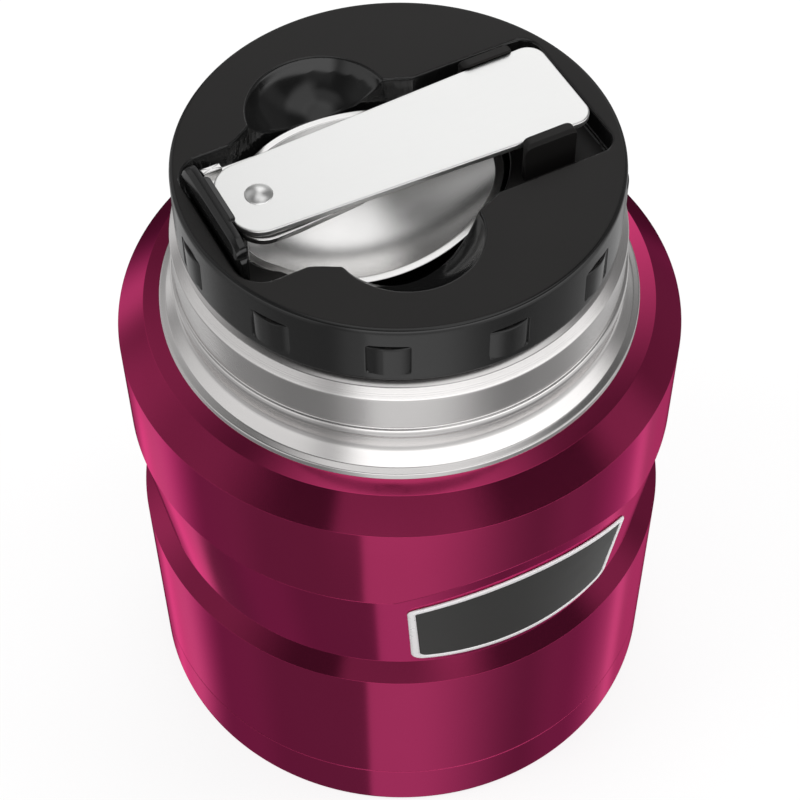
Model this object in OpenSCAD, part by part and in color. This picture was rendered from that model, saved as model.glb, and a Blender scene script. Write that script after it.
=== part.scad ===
// Insulated food jar: double-walled steel body, screw stopper, folding spoon in the stopper's pocket.
// Millimetres, +Z up. The origin is the middle of the base; the badge faces -Y, the spoon lies along X.

/* [Body] */
// Outer diameter of the body at the base, the bevel and the shoulder
body_d = 94; // [92:0.5:100]
// Wall of the outer shell
shell_t = 0.7; // [0.5:0.1:1]
// Height of the base cap, up to the seam
base_h = 10.85; // [9.85:0.5:14.85]
// Height of the straight lower can above the seam
can_h = 32.35; // [28.35:1:44.35]
// Height of the bevel under the groove
bevel_h = 2.4; // [2:0.2:3.6]
// Depth of the groove below the body's surface
groove_in = 3; // [2:0.1:3.2]
// Height of the tapered band that carries the badge
cone_h = 23.1; // [20.6:0.5:28.6]
// Depth of the crease above the badge below the body's surface
crease_in = 0.1; // [0.1:0.1:1.9]
// Height of the upper band
band_h = 19.4; // [18.4:1:28.4]
// Height of the sloping shoulder
shoulder_h = 4.5; // [4:0.5:6]
// Width of the shoulder, from the body's surface in to the deck
shoulder_in = 4.6; // [3.5:0.1:5]
// Width of the deck between the shoulder and the neck's joint
deck_w = 2.75; // [2.3:0.05:3.2]
// Rise of the deck towards the neck
deck_h = 0.9; // [0.7:0.1:1.4]

/* [Base] */
// Wall of the base cap
cap_t = 0.7; // [0.5:0.1:0.8]
// Radial gap between the base cap and the shell's foot inside it
cap_fit = 0.1; // [0.05:0.01:0.2]
// Radius of the rounding at the bottom edge
foot_round = 0.8; // [0.4:0.1:1.4]
// Width of the standing ring
foot_w = 8; // [5:0.5:12]
// Height of the recess inside the standing ring
recess_h = 1.6; // [1:0.1:2.4]
// Space between the base cap's floor and the vacuum pan
pan_gap = 3.2; // [2.6:0.2:4]

/* [Neck] */
// Width of the flare at the foot of the neck
flare_w = 3.05; // [2.6:0.05:3.6]
// Height of the flare at the foot of the neck
flare_h = 4.5; // [4:0.25:6]
// Height of the plain wall of the neck
neck_h = 10.75; // [10.25:0.5:14.25]
// Width of the sloped lip
lip_in = 1.55; // [1.2:0.05:1.8]
// Height of the sloped lip
lip_h = 1.28; // [1:0.04:1.6]
// Height of the bead's middle above the flare
bead_z = 2.9; // [2.4:0.1:3.6]
// Height of the bead
bead_h = 1.7; // [1.3:0.1:2.1]
// How far the bead stands out
bead_out = 0.5; // [0.3:0.1:0.8]
// Width of the step between the sloped lip and the threaded throat
step_w = 3; // [2.8:0.1:3.4]
// Wall of the neck's sheet
neck_t = 0.5; // [0.4:0.05:0.55]
// Height of the threaded throat above the lip
throat_h = 7.77; // [7.57:0.1:9.57]

/* [Liner] */
// Space between the outer shell's groove and the foil
vacuum_gap = 0.8; // [0.6:0.1:3]
// Wall of the food liner
liner_t = 0.5; // [0.4:0.05:0.55]
// Space under the liner for the getter
getter_room = 2.4; // [2.2:0.1:3.4]
// Thickness of the reflecting foil
foil_t = 0.2; // [0.1:0.05:0.3]
// Gap between the liner and the foil
foil_gap = 0.2; // [0.1:0.05:0.25]

/* [Thread] */
// Rise of the stopper for one full turn
thread_lead = 3.2; // [3:0.1:3.4]
// Height of a thread ridge above its wall
ridge_out = 0.9; // [0.7:0.05:0.95]
// Half height of a ridge at its root
ridge_root = 0.6; // [0.5:0.05:0.65]
// Half height of a ridge at its crest
ridge_crest = 0.35; // [0.25:0.05:0.4]
// Gap between a crest and the wall that it faces
thread_fit = 0.3; // [0.25:0.05:0.4]

/* [Stopper] */
// Setback of the skirt's bottom edge from the neck's plain wall
skirt_in = 1.15; // [0.7:0.05:1.4]
// Taper of the skirt from its bottom edge to the stopper's top
skirt_taper = 0.15; // [0:0.05:0.3]
// Gap between the skirt and the neck's lip
skirt_gap = 2.25; // [2.05:0.1:2.55]
// Rounding of the top's outer edge
lid_round = 0.8; // [0.4:0.1:1.4]
// Depth of the spoon pocket
pocket_depth = 3.8; // [3.4:0.1:4.6]
// Thickness under the pocket and round the well
floor_t = 1.3; // [1:0.1:1.4]
// Gap above the mouth's rim
rim_gap = 0.5; // [0.4:0.1:0.8]
// Gap between the plug and the mouth
plug_gap = 0.4; // [0.3:0.05:0.5]
// Height of the drum that carries the plug
drum_h = 2.3; // [2.1:0.1:2.9]
// Length of the plug below the drum
plug_h = 21; // [19.5:0.5:23]
// Wall of the plug
plug_t = 1.3; // [1.1:0.1:1.3]
// Number of grip pads round the skirt
pad_n = 12; // [8:1:16]
// Width of a grip pad
pad_w = 6.6; // [5:0.2:8]
// Height of a grip pad
pad_h = 6.1; // [5:0.1:6.3]
// Rounding radius of a grip pad's face
pad_r = 7.6; // [6:0.2:10]
// How far a grip pad stands out of the skirt
pad_out = 0.35; // [0.2:0.05:0.6]
// Depth of the recess round a grip pad
pad_recess = 0.6; // [0.5:0.05:0.8]

/* [Seal] */
// Height of the sealing ring
seal_h = 3.4; // [3:0.1:4]
// Running gap between the ring and the plug's groove
seal_fit = 0.08; // [0.04:0.01:0.1]
// Gap between the ring and the liner's bore
seal_gap = 0.3; // [0.25:0.05:0.35]
// Depth of the plug's groove
seal_groove = 2.2; // [2:0.1:2.4]

/* [Pocket] */
// Width of the pocket's channel
channel_w = 27.8; // [27.2:0.2:29]
// Wall between the stopper's edge and the channel's end by the rivet
back_wall = 3.3; // [3:0.1:3.5]
// Wall between the stopper's edge and the channel's other end
front_wall = 4.1; // [3.7:0.1:4.9]
// Corner radius of the channel by the rivet
channel_r0 = 4.5; // [3:0.5:6]
// Corner radius of the channel's other end
channel_r1 = 3; // [2:0.5:5]
// Width of the wider middle of the channel
middle_w = 31.5; // [30.5:0.5:33.5]
// Length of the wider middle
middle_l = 23.5; // [21.5:0.5:25.5]
// Length of each slanted end of the wider middle
middle_ramp = 4.3; // [3:0.1:5]
// Radius of a finger scoop's sphere
scoop_r = 13; // [12:0.25:14]
// Radius of a finger scoop's outline in the top
scoop_rim_r = 11.7; // [11:0.1:11.9]
// Distance from the pocket's middle line to a scoop's centre
scoop_y = 14.8; // [14:0.2:15.4]
// Offset of the scoops from the bowl's middle, towards the rivet
scoop_back = 1.4; // [0:0.1:2]
// Thickness of the spring bar and the clip tongues
tongue_t = 1.2; // [1:0.1:1.3]
// Length of the spring bar
bar_w = 21.6; // [18:0.2:22.6]
// Length of a clip tongue
clip_w = 8.8; // [6:0.2:9.4]
// Distance from the clips to the channel's end
clip_in = 6; // [5:0.1:7]
// Length of the low steps in the two corners of that end
corner_l = 3.6; // [2:0.1:4]
// Height of those steps
corner_h = 2.1; // [1:0.1:2.8]
// Distance from the pocket's middle line to a corner step
corner_y = 8.6; // [8.6:0.1:11]
// Width of the slot behind the spring bar
bar_slot = 1.15; // [1:0.05:1.3]
// Gap between a tongue and the spoon handle
clip_gap = 0.35; // [0.3:0.05:0.5]

/* [Spoon] */
// Length of the bowl
bowl_l = 44; // [42:0.5:44.5]
// Width of the bowl
bowl_w = 35.2; // [32:0.2:36]
// Depth of the bowl
bowl_depth = 7.5; // [6.5:0.25:8]
// How much the bowl narrows towards its tip
bowl_egg = 0.12; // [0.06:0.01:0.14]
// Thickness of the bowl's sheet
bowl_t = 0.9; // [0.7:0.1:1]
// Depth of the bowl's rim below the stopper's top
rim_sink = 5.3; // [5:0.1:5.5]
// Gap between the bowl and its well
well_gap = 0.9; // [0.5:0.1:1]
// Gap between the bowl and the floor of its well
seat_gap = 0.3; // [0.2:0.05:0.4]
// Thickness of the stem and the handle
plate_t = 1.2; // [1:0.1:1.4]
// Height of the handle's underside above the stopper's top
handle_rise = 1.6; // [1.55:0.05:2.4]
// Gap between the handle's free end and the channel's end
tip_gap = 1.6; // [0.8:0.1:3]
// Width of the handle at the rivet's end
handle_w0 = 14.6; // [13.6:0.2:15]
// Width of the handle at its free end
handle_w1 = 19.2; // [17:0.2:19.8]
// Distance from the handle's end to the rivet
rivet_in = 5.8; // [5.5:0.1:6]
// Corner radius of the handle at the rivet's end
handle_r0 = 4.9; // [4.6:0.1:5.5]
// Corner radius of the handle at its free end
handle_r1 = 3; // [1.5:0.5:5]
// Setback of the stem's bend from the handle's end
stem_in = 0.5; // [0.3:0.05:0.7]
// Corner radius of the stem at its bend
stem_r = 4.6; // [3:0.2:5]
// Width of the stem's riser
riser_w = 10; // [8:0.2:10.4]
// Length of the stem's tongue above the bowl
tongue_l = 17; // [14:0.5:20]
// Length of the stop tab
stop_l = 3; // [2.2:0.2:3.4]
// Gap between the stop tab and the handle's side
stop_gap = 0.7; // [0.6:0.05:0.9]

/* [Rivet] */
// Diameter of the rivet's shank
shank_d = 3; // [2.6:0.1:3.4]
// Diameter of the rivet's head
head_d = 4.4; // [4:0.1:5]
// Height of the rivet's head
head_h = 1; // [0.7:0.1:1.3]
// Running gap round the shank
shank_fit = 0.05; // [0.02:0.01:0.09]
// Thickness of the washer
washer_t = 0.3; // [0.2:0.05:0.35]
// Diameter of the washer
washer_d = 7; // [5.4:0.2:8]

/* [Badge] */
// Width of the badge along its top
badge_w1 = 41.6; // [36:0.4:44]
// Width of the badge along its bottom
badge_w0 = 38.4; // [34:0.4:41]
// Height of the badge
badge_h = 16.7; // [14:0.1:18]
// Height of the badge's middle above the groove
badge_z = 11.35; // [10:0.05:12]
// Corner radius of the badge
badge_r = 1.9; // [1.2:0.1:2.5]
// Thickness of the badge
badge_t = 0.45; // [0.4:0.05:0.8]
// Width of the badge's bright frame
badge_edge = 1.2; // [0.8:0.1:2]
// How far the panel lies below the frame's face
badge_sink = 0.1; // [0.05:0.05:0.2]
// Thickness of the adhesive
glue_t = 0.1; // [0.05:0.05:0.25]

/* [Hidden] */
$fn = 120;

// Margin by which a cutting solid passes the face that it cuts
over = 1;
// Angle between two rings of a thread ridge
ridge_step = 6;

// Heights, from the base up
z_cap_floor = recess_h + cap_t;
z_pan = z_cap_floor + pan_gap;
z_pan_top = z_pan + shell_t;
z_liner = z_pan_top + getter_room;
z_seam = base_h;
z_bevel = z_seam + can_h;
z_groove = z_bevel + bevel_h;
z_crease = z_groove + cone_h;
z_shoulder = z_crease + band_h;
z_deck = z_shoulder + shoulder_h;
z_collar = z_deck + deck_h;
z_flare = z_collar + flare_h;
z_neck = z_flare + neck_h;
z_lip = z_neck + lip_h;
z_mouth = z_lip + throat_h;
z_under = z_mouth + rim_gap;
z_floor = z_under + floor_t;
z_lid = z_floor + pocket_depth;
z_skirt = z_lip + skirt_gap;
z_drum = z_under - drum_h;
z_plug = z_drum - plug_h;
z_rim = z_lid - rim_sink;
z_well = z_rim - bowl_depth - seat_gap;
z_handle = z_lid + handle_rise;
z_stem = z_handle - washer_t - plate_t;
z_badge = z_groove + badge_z;

// Radii of the body
body_r = body_d / 2;
groove_r = body_r - groove_in;
crease_r = body_r - crease_in;
deck_r = body_r - shoulder_in;
collar_r = deck_r - deck_w;
neck_r = collar_r - flare_w;
lip_r = neck_r - lip_in;
throat_r = lip_r - step_w;
sheet_gap = 0.05;
mouth_r = throat_r - neck_t - sheet_gap - liner_t;
foil_r = min(groove_r, crease_r) - shell_t - vacuum_gap - foil_t;
liner_r = foil_r - foil_gap - liner_t;
shell_foot_r = body_r - cap_t - cap_fit;
pan_r = shell_foot_r - shell_t - cap_fit;
seam_gap = 0.1;
step_h = shell_t;

// Throat, thread and stopper
tuck_r = collar_r - neck_t;
foot_curve = 6;
liner_drop = 2.6;
bore_r = throat_r + ridge_out + thread_fit;
skirt_r = neck_r - skirt_in;
lid_r = skirt_r - skirt_taper;
plug_r = mouth_r - plug_gap;
groove_floor_r = plug_r - seal_groove;
ridge_in = 0.15;
ridge_male_start = 0;
ridge_male_end = 420;
ridge_female_start = 150;
ridge_female_end = 330;
z_ridge_female = z_skirt + ridge_root + ridge_in - thread_lead * ridge_female_start / 360;
z_ridge_male = z_ridge_female + thread_lead / 2;

// Sealing ring and plug
flange_h = 4.3;
flange_in = 0.4;
z_seal = z_plug + flange_h;
seal_play = 0.3;
plug_floor_t = 1.4;
plug_wall_r = groove_floor_r - plug_t;
foam_gap = 0.3;

// Spoon
channel_back = lid_r - back_wall;
channel_front = lid_r - front_wall;
bowl_end = -(plug_r - plug_t - foam_gap - floor_t - well_gap);
bowl_mid = bowl_end + bowl_l / 2;
scoop_x = bowl_mid - scoop_back;
bowl_axis_h = (pow(bowl_w / 2, 2) - pow(bowl_depth, 2)) / (2 * bowl_depth);
handle_end = -channel_back + bar_slot + tongue_t + clip_gap;
handle_l = channel_front - tip_gap - handle_end;
clip_x = channel_front - clip_in - clip_w / 2;
rivet_x = handle_end + rivet_in;
stem_end = handle_end + stem_in;
foot_t = 1;
foot_lap = 1.4;
foot_l = bowl_end + foot_lap - stem_end;
stop_t = 1.1;
stop_h = plate_t + washer_t + 0.6;
slot_gap = 0.4;
stem_half = handle_w0 / 2 + stop_gap;

// Unit vector of v
function unit(v) = v / norm(v);

// Arc that rounds the corner b between a and c with radius r
function corner(a, b, c, r, n) =
    let(u = unit(a - b), w = unit(c - b), half = acos(u * w) / 2,
        mid = b + unit(u + w) * r / sin(half), p = b + u * r / tan(half), q = b + w * r / tan(half),
        a0 = atan2(p.y - mid.y, p.x - mid.x), a1 = atan2(q.y - mid.y, q.x - mid.x),
        sweep = (a1 - a0 + 540) % 360 - 180)
    [for (i = [0:n]) mid + r * [cos(a0 + sweep * i / n), sin(a0 + sweep * i / n)]];

// Outline through pts with each corner rounded by its own radius
function rounded(pts, radii, n = 8) =
    [for (i = [0:len(pts) - 1])
        each corner(pts[(i + len(pts) - 1) % len(pts)], pts[i], pts[(i + 1) % len(pts)], radii[i], n)];

// Half width of the bowl's outline at the angle a, the tip at 0
function bowl_half(a, grow = 0) = (bowl_w / 2 + grow) * sin(a) * (1 - bowl_egg * cos(a));

// Outline of the bowl in plan, made larger by grow
function bowl_outline(grow) =
    [for (a = [0:5:355]) [bowl_mid + (bowl_l / 2 + grow) * cos(a), bowl_half(a, grow)]];

// Side of the body, moved inwards by e
function body_side(e) = [
    [body_r - e, z_bevel + e * 0.4],
    [groove_r - e, z_groove],
    [crease_r - e, z_crease],
    [body_r - e, z_shoulder - e * 0.4],
    [deck_r - e * 0.4, z_deck - e],
];

module revolve(pts) {
    rotate_extrude() polygon(pts);
}

module tube(r_out, r_in, z0, z1) {
    difference() {
        translate([0, 0, z0]) cylinder(r = r_out, h = z1 - z0);
        translate([0, 0, z0 - over]) cylinder(r = r_in, h = z1 - z0 + 2 * over);
    }
}

// Ridge that climbs by one lead for each turn, from the wall r_root to the crest r_tip
module ridge(r_root, r_tip, z0, a0, a1) {
    n = ceil((a1 - a0) / ridge_step);
    section = [[r_root, -ridge_root], [r_tip, -ridge_crest], [r_tip, ridge_crest], [r_root, ridge_root]];
    pts = [for (i = [0:n]) let(a = a0 + (a1 - a0) * i / n)
        for (p = section) [p.x * cos(a), p.x * sin(a), z0 + thread_lead * a / 360 + p.y]];
    sides = [for (i = [0:n - 1]) for (j = [0:3]) let(k = (j + 1) % 4)
        each [[4 * i + j, 4 * i + 4 + j, 4 * i + k], [4 * i + k, 4 * i + 4 + j, 4 * i + 4 + k]]];
    ends = [[0, 1, 2], [0, 2, 3], [4 * n + 2, 4 * n + 1, 4 * n], [4 * n + 3, 4 * n + 2, 4 * n]];
    faces = concat(sides, ends);
    polyhedron(points = pts, faces = r_tip < r_root ? faces : [for (f = faces) [f[2], f[1], f[0]]]);
}

module outer_shell() {
    outside = concat(
        [[shell_foot_r, z_pan], [shell_foot_r, z_seam + seam_gap], [body_r, z_seam + seam_gap]],
        body_side(0), [[collar_r, z_collar], [tuck_r + sheet_gap, z_collar]]);
    inside = concat(
        [[shell_foot_r - shell_t, z_pan], [shell_foot_r - shell_t, z_seam + seam_gap + step_h],
            [body_r - shell_t, z_seam + seam_gap + step_h]],
        body_side(shell_t), [[tuck_r + sheet_gap, z_collar - shell_t]]);
    color([0.60, 0.15, 0.33])
    revolve(concat(outside, [for (i = [len(inside) - 1:-1:0]) inside[i]]));
}

module base_cap() {
    foot_in_r = body_r - foot_w;
    color([0.60, 0.15, 0.33])
    revolve(concat(
        [[0, recess_h], [foot_in_r - recess_h, recess_h], [foot_in_r, 0]],
        [for (a = [-90:15:0]) [body_r - foot_round + foot_round * cos(a), foot_round + foot_round * sin(a)]],
        [[body_r, z_seam], [body_r - cap_t, z_seam], [body_r - cap_t, cap_t + foot_round],
            [body_r - cap_t - foot_round, cap_t], [foot_in_r + cap_t, cap_t],
            [foot_in_r - recess_h + cap_t, z_cap_floor], [0, z_cap_floor]]));
}

module neck_collar() {
    roll = 0.9;
    tuck_h = 2;
    z_bead = z_flare + bead_z;
    flare = [for (t = [0:0.125:1])
        [neck_r + (collar_r - roll - neck_r) * pow(1 - t, 2), z_collar + roll + (flare_h - roll) * t]];
    outside = concat(
        [[tuck_r, z_collar - tuck_h], [tuck_r, z_collar], [collar_r, z_collar]],
        [for (a = [0:30:90]) [collar_r - roll + roll * cos(a), z_collar + roll * sin(a)]],
        [for (i = [1:len(flare) - 1]) flare[i]],
        [for (a = [-90:30:90]) [neck_r + bead_out * cos(a), z_bead + bead_h / 2 * sin(a)]],
        [[neck_r, z_neck], [lip_r, z_lip], [throat_r, z_lip + neck_t], [throat_r, z_mouth],
            [mouth_r, z_mouth], [mouth_r, z_mouth - neck_t], [throat_r - neck_t, z_mouth - neck_t]]);
    inside = [[throat_r - neck_t, z_lip], [lip_r - neck_t, z_lip - neck_t],
        [neck_r - neck_t, z_neck - neck_t], [neck_r - neck_t, z_flare],
        [collar_r - roll - 3 * neck_t, z_collar + roll],
        [tuck_r - neck_t, z_collar - neck_t], [tuck_r - neck_t, z_collar - tuck_h]];
    color([0.80, 0.80, 0.80])
    union() {
        revolve(concat(outside, inside));
        ridge(throat_r - neck_t / 2, throat_r + ridge_out, z_ridge_male, ridge_male_start, ridge_male_end);
    }
}

// Wall of the liner, moved outwards by e
function liner_side(e) =
    let(foot_r = foot_curve, foot = z_shoulder - liner_drop, z_arc = z_liner + liner_t + foot_r)
    concat([[mouth_r + e, z_mouth - neck_t], [mouth_r + e, z_flare], [mouth_r + 1 + e, z_flare - 2 - e * 0.6],
        [liner_r - 0.8 + e * 0.7, foot + 3 - e * 0.2], [liner_r + e, foot]],
        [for (a = [0:-15:-90]) [liner_r - foot_r + (foot_r + e) * cos(a), z_arc + (foot_r + e) * sin(a)]]);

module inner_liner() {
    inside = liner_side(0);
    color([0.72, 0.72, 0.72])
    revolve(concat(liner_side(liner_t), [[0, z_liner], [0, z_liner + liner_t]],
        [for (i = [len(inside) - 1:-1:0]) inside[i]]));
}

module foil_shield() {
    color([0.78, 0.50, 0.32])
    tube(foil_r + foil_t, foil_r, z_liner + foot_curve, z_shoulder - shoulder_h);
}

module vacuum_pan() {
    vent_r = 1;
    rim_h = 2.2;
    color([0.70, 0.70, 0.70])
    difference() {
        translate([0, 0, z_pan]) cylinder(r = pan_r, h = shell_t + rim_h);
        translate([0, 0, z_pan_top]) cylinder(r = pan_r - shell_t, h = rim_h + over);
        translate([0, 0, z_pan - over]) cylinder(r = vent_r, h = shell_t + 2 * over);
    }
}

module vent_seal() {
    seal_r = 2.6;
    bead = 0.7;
    color([0.62, 0.62, 0.60])
    translate([0, 0, z_pan - bead]) cylinder(r = seal_r, h = bead);
}

getter_x = 18;
getter_r = 5;
getter_h = 1.3;
getter_cup_t = 0.3;

module getter() {
    color([0.35, 0.35, 0.36])
    translate([getter_x, 0, z_pan_top + getter_cup_t]) cylinder(r = getter_r, h = getter_h);
}

module getter_cup() {
    play = 0.05;
    color([0.66, 0.66, 0.66])
    difference() {
        translate([getter_x, 0, z_pan_top]) cylinder(r = getter_r + play + getter_cup_t, h = getter_h);
        translate([getter_x, 0, z_pan_top + getter_cup_t]) cylinder(r = getter_r + play, h = getter_h);
    }
}

// Radius of the tapered band at the height z
function cone_r(z) = groove_r + (crease_r - groove_r) * (z - z_groove) / cone_h;

// Layer that lies on the tapered band, between the distances a and b from it
module band_layer(a, b) {
    z0 = z_groove;
    z1 = z_crease;
    revolve([[cone_r(z0) + a, z0], [cone_r(z0) + b, z0], [cone_r(z1) + b, z1], [cone_r(z1) + a, z1]]);
}

// Badge outline as a prism in front of the body, smaller by inset
module badge_prism(inset) {
    h = badge_h / 2 - inset;
    r = badge_r - inset / 2;
    translate([0, 0, z_badge]) rotate([90, 0, 0]) linear_extrude(body_r + over)
        polygon(rounded([[-badge_w0 / 2 + inset, -h], [badge_w0 / 2 - inset, -h],
            [badge_w1 / 2 - inset, h], [-badge_w1 / 2 + inset, h]], [r, r, r / 2, r / 2]));
}

module badge_frame() {
    color([0.86, 0.86, 0.86])
    difference() {
        intersection() {
            band_layer(glue_t, glue_t + badge_t);
            badge_prism(0);
        }
        badge_prism(badge_edge);
    }
}

module badge_panel() {
    play = 0.02;
    color([0.28, 0.28, 0.27])
    intersection() {
        band_layer(glue_t, glue_t + badge_t - badge_sink);
        badge_prism(badge_edge + play);
    }
}

module badge_adhesive() {
    color([0.20, 0.20, 0.20])
    intersection() {
        band_layer(0, glue_t);
        badge_prism(badge_edge / 2);
    }
}

// Outline of the pocket's channel and of its wider middle, with the rivet's end towards -X
module channel_outline() {
    half = channel_w / 2;
    x0 = scoop_x - middle_l / 2;
    x1 = scoop_x + middle_l / 2;
    polygon(rounded([[-channel_back, -half], [channel_front, -half], [channel_front, half],
        [-channel_back, half]], [channel_r0, channel_r1, channel_r1, channel_r0]));
    polygon([[x0 - middle_ramp, -half], [x0, -middle_w / 2], [x1, -middle_w / 2], [x1 + middle_ramp, -half],
        [x1 + middle_ramp, half], [x1, middle_w / 2], [x0, middle_w / 2], [x0 - middle_ramp, half]]);
}

// The two finger scoops as balls, made larger by grow
module scoops(grow) {
    rise = sqrt(pow(scoop_r, 2) - pow(scoop_rim_r, 2));
    for (side = [-1, 1])
        translate([scoop_x, side * scoop_y, z_lid + rise]) sphere(r = scoop_r + grow);
}

// Well for the bowl and slot for the stem's riser, made larger by grow
module well(grow, z0, z1) {
    translate([0, 0, z0]) linear_extrude(z1 - z0) polygon(bowl_outline(well_gap + grow));
}

module riser_slot() {
    x0 = stem_end - slot_gap;
    translate([x0, -riser_w / 2 - slot_gap, z_rim - foot_t - slot_gap])
        cube([foot_l + 2 * slot_gap, riser_w + 2 * slot_gap, z_lid - z_rim + over + foot_t + slot_gap]);
}

module tongues() {
    top = z_handle - 0.3;
    foot = z_floor - floor_t / 2;
    slope = (handle_w1 - handle_w0) / 2 / handle_l;
    half = handle_w0 / 2 + slope * (clip_x + clip_w / 2 - handle_end);
    translate([-channel_back + bar_slot, -bar_w / 2, foot]) cube([tongue_t, bar_w, top - foot]);
    for (y = [half + clip_gap, -half - clip_gap - tongue_t])
        translate([clip_x - clip_w / 2, y, foot]) cube([clip_w, tongue_t, top - foot]);
}

module pads() {
    z0 = (z_skirt + z_lid) / 2 - pad_h / 2 - 1;
    r = (lid_r + skirt_r) / 2;
    for (k = [0:pad_n - 1]) rotate([0, 0, 360 / pad_n * k]) intersection() {
        translate([0, -(r + pad_out - pad_r), z0]) cylinder(r = pad_r, h = pad_h - 0.3, $fn = 96);
        translate([-pad_w / 2, -r - over, z0 - over]) cube([pad_w, over + 2 * pad_recess, pad_h + 2 * over]);
    }
}

module pad_recesses() {
    z0 = (z_skirt + z_lid) / 2 - pad_h / 2 - 1;
    r = (lid_r + skirt_r) / 2;
    for (k = [0:pad_n - 1]) rotate([0, 0, 360 / pad_n * k])
        translate([-pad_w / 2, -r - over, z0]) cube([pad_w, over + pad_recess, pad_h]);
}

module stopper_cover() {
    color([0.10, 0.10, 0.10])
    union() {
        difference() {
            union() {
                revolve(concat([[0, z_drum], [plug_r, z_drum], [plug_r, z_under], [bore_r, z_under],
                    [bore_r, z_skirt], [skirt_r, z_skirt]],
                    [for (a = [0:15:90]) [lid_r - lid_round + lid_round * cos(a),
                        z_lid - lid_round + lid_round * sin(a)]],
                    [[0, z_lid]]));
                well(floor_t, z_well - floor_t, z_under);
                intersection() {
                    scoops(floor_t);
                    translate([0, 0, z_well]) cylinder(r = plug_r - plug_t - foam_gap, h = z_under - z_well);
                }
            }
            difference() {
                translate([0, 0, z_floor]) linear_extrude(pocket_depth + over) channel_outline();
                for (y = [corner_y, -corner_y - channel_w])
                    translate([channel_front - corner_l, y, z_floor - over])
                        cube([lid_r, channel_w, corner_h + over]);
            }
            well(0, z_well, z_lid + over);
            riser_slot();
            scoops(0);
            pad_recesses();
        }
        pads();
        tongues();
        ridge(bore_r + 0.5, throat_r + thread_fit, z_ridge_female, ridge_female_start, ridge_female_end);
    }
}

module stopper_plug() {
    wall_r = plug_r - plug_t;
    groove_top = z_seal + seal_h + 2 * seal_play;
    color([0.14, 0.14, 0.14])
    revolve([[0, z_plug], [plug_r - 2 * flange_in - 1, z_plug], [plug_r - flange_in, z_plug + 1.4],
        [plug_r - flange_in, z_seal], [groove_floor_r, z_seal], [groove_floor_r, groove_top],
        [plug_r, groove_top], [plug_r, z_drum], [wall_r, z_drum],
        [wall_r, groove_top + plug_t], [plug_wall_r, groove_top], [plug_wall_r, z_plug + plug_floor_t],
        [0, z_plug + plug_floor_t]]);
}

module stopper_foam() {
    wall_r = plug_r - plug_t - foam_gap;
    groove_top = z_seal + seal_h + 2 * seal_play;
    color([0.93, 0.90, 0.80])
    difference() {
        revolve([[0, z_plug + plug_floor_t], [plug_wall_r - foam_gap, z_plug + plug_floor_t],
            [plug_wall_r - foam_gap, groove_top + foam_gap], [wall_r, groove_top + plug_t + foam_gap],
            [wall_r, z_drum - foam_gap], [0, z_drum - foam_gap]]);
        well(floor_t + foam_gap, z_well - floor_t - foam_gap, z_drum + over);
        scoops(floor_t + foam_gap);
    }
}

module stopper_gasket() {
    r_in = groove_floor_r + seal_fit;
    r_out = mouth_r - seal_gap;
    lip = 0.5;
    z0 = z_seal + seal_play;
    color([0.78, 0.78, 0.76])
    revolve([[r_in, z0], [r_out - lip, z0], [r_out, z0 + seal_h * 0.3], [r_out - lip, z0 + seal_h * 0.5],
        [r_out, z0 + seal_h * 0.7], [r_out - lip, z0 + seal_h], [r_in, z0 + seal_h]]);
}

// Body of revolution about the bowl's long axis, smaller by inset
module bowl_round(inset) {
    side = [for (a = [180:-5:0])
        [sqrt(pow(bowl_half(a), 2) + pow(bowl_axis_h, 2)) - inset, bowl_mid + bowl_l / 2 * cos(a)]];
    translate([0, 0, z_rim + bowl_axis_h]) rotate([0, 90, 0])
        revolve(concat([[0, side[0].y - over * (inset > 0 ? 1 : 0)]],
            inset > 0 ? [[side[0].x, side[0].y - over]] : [], side,
            inset > 0 ? [[side[len(side) - 1].x, side[len(side) - 1].y + over]] : [],
            [[0, side[len(side) - 1].y + over * (inset > 0 ? 1 : 0)]]));
}

module stem_plate() {
    half = stem_half;
    tip_half = riser_w / 2;
    waist_r = 6;
    tip_r = 3;
    polygon(rounded([[stem_end, -half], [rivet_x + 3, -half], [stem_end + tongue_l, -tip_half],
        [stem_end + tongue_l, tip_half], [rivet_x + 3, half + stop_t], [stem_end, half + stop_t]],
        [stem_r, waist_r, tip_r, tip_r, waist_r, stop_t / 2]));
}

module spoon_bowl() {
    color([0.82, 0.82, 0.82])
    difference() {
        union() {
            intersection() {
                difference() {
                    bowl_round(0);
                    bowl_round(bowl_t);
                }
                translate([bowl_end - over, -bowl_w, z_rim - bowl_w])
                    cube([bowl_l + 2 * over, 2 * bowl_w, bowl_w]);
            }
            translate([stem_end, -riser_w / 2, z_rim - foot_t]) cube([foot_l, riser_w, foot_t]);
            translate([stem_end, -riser_w / 2, z_rim - foot_t])
                cube([plate_t, riser_w, z_stem + plate_t - z_rim + foot_t]);
            translate([0, 0, z_stem]) linear_extrude(plate_t) stem_plate();
            translate([stem_end, stem_half, z_stem]) cube([stop_l, stop_t, stop_h + plate_t]);
        }
        translate([rivet_x, 0, z_stem - over]) cylinder(d = shank_d + 2 * shank_fit, h = plate_t + 2 * over);
    }
}

module spoon_handle() {
    x1 = handle_end + handle_l;
    color([0.88, 0.88, 0.87])
    difference() {
        translate([0, 0, z_handle]) linear_extrude(plate_t)
            polygon(rounded([[handle_end, -handle_w0 / 2], [x1, -handle_w1 / 2], [x1, handle_w1 / 2],
                [handle_end, handle_w0 / 2]], [handle_r0, handle_r1, handle_r1, handle_r0]));
        translate([rivet_x, 0, z_handle - over]) cylinder(d = shank_d + shank_fit, h = plate_t + 2 * over);
    }
}

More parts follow.
